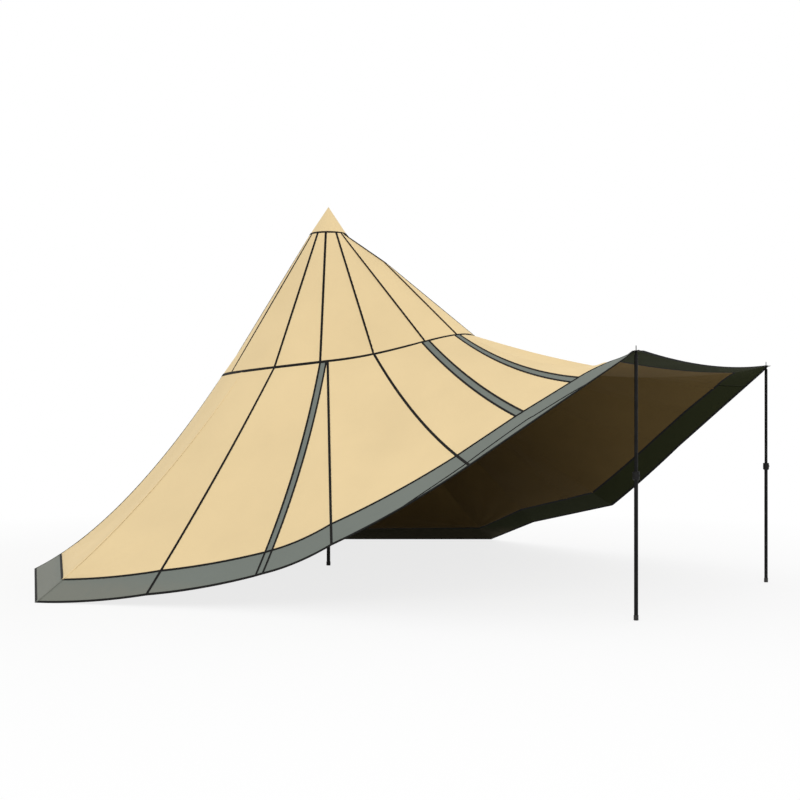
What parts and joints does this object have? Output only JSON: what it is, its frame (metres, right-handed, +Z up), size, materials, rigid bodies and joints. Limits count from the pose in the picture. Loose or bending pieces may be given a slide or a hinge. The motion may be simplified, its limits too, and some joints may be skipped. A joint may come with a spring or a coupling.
{
  "type": "peaked canvas tent",
  "caption": "Peaked canvas tent on a centre pole, with a grey hem band and strips, and its front hem raised as an awning on two telescopic poles.",
  "frame": {"origin": "on the ground, at the middle of the centre pole's foot", "axes": "+Z up, -Y towards the open mouth and its awning, -X to the tent's left seen from the mouth"},
  "size_m": [7.2638, 6.7056, 3.888],
  "materials": {
    "canvas": "matt woven canvas, dark brown inside",
    "trim": "grey coated canvas, dark green inside",
    "pole": "black matt powder coat",
    "plastic": "black moulded plastic",
    "rubber": "black rubber",
    "eyelet": "blackened metal"
  },
  "bodies": {
    "tent": {"apex_cap": "canvas", "band_back": "trim", "band_front": "trim", "band_left_rear": "trim", "band_left_side": "trim", "band_right_rear": "trim", "band_right_side": "trim", "centre_pole_head": "plastic", "centre_pole_upper": "pole", "eyelet_left": "eyelet", "eyelet_right": "eyelet", "gore_back": "canvas", "gore_front": "canvas", "gore_left_1": "canvas", "gore_left_2": "canvas", "gore_left_3": "canvas", "gore_left_4": "canvas", "gore_left_5": "canvas", "gore_left_6": "canvas", "gore_right_1": "canvas", "gore_right_2": "canvas", "gore_right_3": "canvas", "gore_right_4": "canvas", "gore_right_5": "canvas", "gore_right_6": "canvas", "gusset_left": "canvas", "gusset_right": "canvas", "panel_awning": "canvas", "panel_back": "canvas", "panel_left_1": "canvas", "panel_left_2": "canvas", "panel_left_3": "canvas", "panel_left_4": "canvas", "panel_left_5": "canvas", "panel_left_6": "canvas", "panel_right_1": "canvas", "panel_right_2": "canvas", "panel_right_3": "canvas", "panel_right_4": "canvas", "panel_right_5": "canvas", "panel_right_6": "canvas", "strip_left_awning": "trim", "strip_left_door": "trim", "strip_left_eave": "trim", "strip_right_awning": "trim", "strip_right_door": "trim", "strip_right_eave": "trim"},
    "centre_pole_base": {"centre_pole_lower": "pole", "centre_pole_foot": "rubber"},
    "centre_lock": {"centre_pole_button": "plastic"},
    "left_pole_top": {"awning_pole_left_spike": "pole", "awning_pole_left_upper": "pole"},
    "left_pole_base": {"awning_pole_left_lower": "pole", "awning_pole_left_foot": "rubber"},
    "left_lock": {"awning_pole_left_button": "plastic"},
    "right_pole_top": {"awning_pole_right_spike": "pole", "awning_pole_right_upper": "pole"},
    "right_pole_base": {"awning_pole_right_lower": "pole", "awning_pole_right_foot": "rubber"},
    "right_lock": {"awning_pole_right_button": "plastic"}
  },
  "joints": [
    {"name": "centre_pole_extend", "type": "slide", "parent": "tent", "child": "centre_pole_base", "axis": [0, 0, 1], "range_m": [0, 1.2]},
    {"name": "centre_lock_press", "type": "slide", "parent": "centre_pole_base", "child": "centre_lock", "axis": [0, 1, 0], "range_m": [0, 0.004], "stiffness_N_per_m": 400},
    {"name": "left_pole_lean", "type": "hinge", "parent": "tent", "child": "left_pole_top", "pos_m": [-1.433, -4.31, 2.07708], "axis": [1, 0, 0], "range_deg": [-20, 20]},
    {"name": "left_pole_extend", "type": "slide", "parent": "left_pole_top", "child": "left_pole_base", "axis": [0, 0, 1], "range_m": [0, 0.85]},
    {"name": "left_lock_press", "type": "slide", "parent": "left_pole_base", "child": "left_lock", "axis": [0, 1, 0], "range_m": [0, 0.004], "stiffness_N_per_m": 400},
    {"name": "right_pole_lean", "type": "hinge", "parent": "tent", "child": "right_pole_top", "pos_m": [1.433, -4.31, 2.07708], "axis": [1, 0, 0], "range_deg": [-20, 20]},
    {"name": "right_pole_extend", "type": "slide", "parent": "right_pole_top", "child": "right_pole_base", "axis": [0, 0, 1], "range_m": [0, 0.85]},
    {"name": "right_lock_press", "type": "slide", "parent": "right_pole_base", "child": "right_lock", "axis": [0, 1, 0], "range_m": [0, 0.004], "stiffness_N_per_m": 400}
  ]
}
